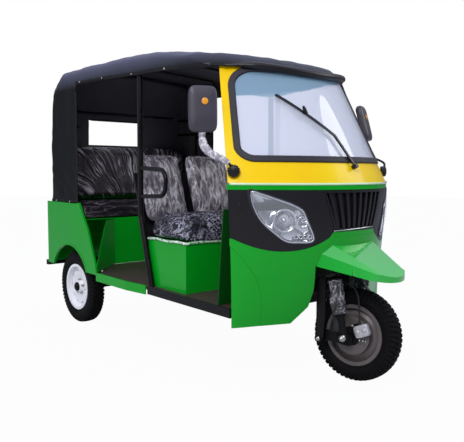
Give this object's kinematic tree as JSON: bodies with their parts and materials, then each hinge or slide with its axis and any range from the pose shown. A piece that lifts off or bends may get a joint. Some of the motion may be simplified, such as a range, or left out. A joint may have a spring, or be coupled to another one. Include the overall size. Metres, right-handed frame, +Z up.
{
  "type": "auto rickshaw",
  "caption": "Three-wheeled passenger auto rickshaw with steered front wheel, curved nose, canvas roof, driver's bench and rear bench.",
  "frame": {"origin": "on the ground under the middle of the vehicle's bounding box", "axes": "+X forward, +Y to the vehicle's left, +Z up"},
  "size_m": [2.805, 1.528, 1.843],
  "materials": {
    "green_paint": "gloss",
    "yellow_paint": "gloss",
    "black_steel": "satin",
    "black_trim": "textured",
    "canvas": "coated weave",
    "rubber_seal": "matte",
    "glass": "clear",
    "lamp_lens": "clear",
    "floor_mat": "ribbed matte",
    "seat_vinyl": "vinyl under clear film",
    "motor_alloy": "cast",
    "red_lens": "clear red",
    "bright_steel": "zinc plated",
    "shock_steel": "gloss",
    "tyre_rubber": "matte",
    "dark_rim": "satin",
    "silver_rim": "silver satin"
  },
  "bodies": {
    "chassis": {"front_cowl": "green_paint", "nose_mask": "black_trim", "cowl_ledge": "green_paint", "headlight_right": "lamp_lens", "headlight_left": "lamp_lens", "grille": "black_trim", "windscreen_frame": "yellow_paint", "windscreen_seal": "rubber_seal", "windscreen_glass": "glass", "front_mudguard": "green_paint", "canopy": "canvas", "roof_hoops": "black_steel", "pillar_right": "black_steel", "pillar_left": "black_steel", "floor_pan": "floor_mat", "frame_rail_right": "black_steel", "frame_rail_left": "black_steel", "frame_crossbars": "black_steel", "frame_outriggers": "black_steel", "door_sills": "black_steel", "step_panels": "green_paint", "quarter_right": "green_paint", "quarter_left": "green_paint", "tail_panel": "green_paint", "rear_bench": "green_paint", "driver_seat_box": "green_paint", "driver_cushion": "seat_vinyl", "driver_back_pads": "seat_vinyl", "driver_back_board": "black_trim", "rear_cushion": "seat_vinyl", "rear_back_pad": "seat_vinyl", "rear_axle": "black_steel", "drive_motor": "motor_alloy", "leaf_springs": "black_steel", "rear_bumper": "black_steel", "tail_lamps": "red_lens", "steering_head": "black_steel", "toe_board": "green_paint", "dashboard": "black_trim", "mirror_right": "black_trim", "mirror_left": "black_trim", "wiper": "black_trim"},
    "steering": {"steering_stem": "black_steel", "fork_legs": "black_steel", "fork_links": "black_steel", "front_axle": "bright_steel", "fork_shocks": "shock_steel", "handlebar": "black_steel"},
    "front_wheel": {"front_tyre": "tyre_rubber", "front_rim": "dark_rim"},
    "rear_wheel_right": {"rear_tyre_right": "tyre_rubber", "rear_rim_right": "silver_rim"},
    "rear_wheel_left": {"rear_tyre_left": "tyre_rubber", "rear_rim_left": "silver_rim"}
  },
  "joints": [
    {"name": "steer", "type": "hinge", "parent": "chassis", "child": "steering", "pos_m": [1.0865, 0, 0.24347], "axis": [-0.342, 0, 0.9397], "range_deg": [-51.5, 28.5]},
    {"name": "front_roll", "type": "hinge", "parent": "steering", "child": "front_wheel", "pos_m": [1.14642, 0.01143, 0.24307], "axis": [-0.1873, 0.9799, -0.0682], "continuous": true},
    {"name": "rear_roll_right", "type": "hinge", "parent": "chassis", "child": "rear_wheel_right", "pos_m": [-0.8975, -0.548, 0.257], "axis": [0, 1, 0], "continuous": true},
    {"name": "rear_roll_left", "type": "hinge", "parent": "chassis", "child": "rear_wheel_left", "pos_m": [-0.8975, 0.548, 0.257], "axis": [0, 1, 0], "continuous": true}
  ]
}
